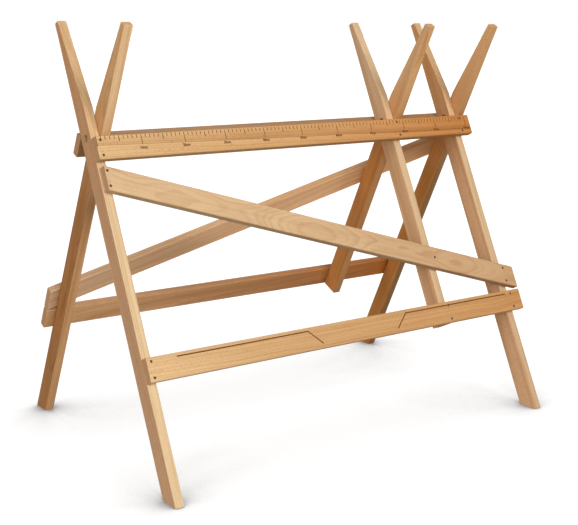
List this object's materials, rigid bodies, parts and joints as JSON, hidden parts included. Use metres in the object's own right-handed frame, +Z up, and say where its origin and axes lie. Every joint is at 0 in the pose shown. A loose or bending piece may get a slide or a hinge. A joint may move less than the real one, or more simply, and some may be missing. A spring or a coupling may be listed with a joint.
{
  "type": "folding sawhorse",
  "caption": "Folding wooden log sawhorse: two braced leg frames cross on pivot bolts, cradle a log in their V tops and fold flat.",
  "frame": {"origin": "on the floor, at the middle of the open sawhorse's footprint", "axes": "+X along the rails to the right, where the middle leg pair stands nearer; +Y from the front (ruled) rail to the back; +Z up"},
  "size_m": [1.017, 0.6884, 0.8948],
  "materials": {
    "beech_leg": "planed, unvarnished beech",
    "beech_board": "planed, unvarnished beech",
    "scorched_mark": "branded (burnt) marks in the board face",
    "zinc_steel": "zinc-plated, satin",
    "nail_steel": "dull dark steel",
    "nylon": "matt"
  },
  "bodies": {
    "front_frame": {"front_leg_left": "beech_leg", "front_leg_middle": "beech_leg", "front_leg_right": "beech_leg", "front_top_rail": "beech_board", "front_brace": "beech_board", "front_bottom_rail": "beech_board", "front_top_rail_nails": "nail_steel", "front_brace_nails": "nail_steel", "front_bottom_rail_nails": "nail_steel", "pivot_bolt_left": "zinc_steel", "pivot_bolt_middle": "zinc_steel", "pivot_bolt_right": "zinc_steel", "lock_nut_left": "zinc_steel", "lock_nut_middle": "zinc_steel", "lock_nut_right": "zinc_steel", "bolt_head_washers": "zinc_steel", "lock_nut_washers": "zinc_steel", "lock_nut_rings": "nylon"},
    "back_frame": {"back_leg_left": "beech_leg", "back_leg_middle": "beech_leg", "back_leg_right": "beech_leg", "back_top_rail": "beech_board", "back_brace": "beech_board", "back_bottom_rail": "beech_board", "back_top_rail_nails": "nail_steel", "back_brace_nails": "nail_steel", "back_bottom_rail_nails": "nail_steel"}
  },
  "joints": [
    {"name": "fold", "type": "hinge", "parent": "front_frame", "child": "back_frame", "pos_m": [0, 0, 0.6635], "axis": [-1, 0, 0], "range_deg": [0, 51.1]}
  ]
}
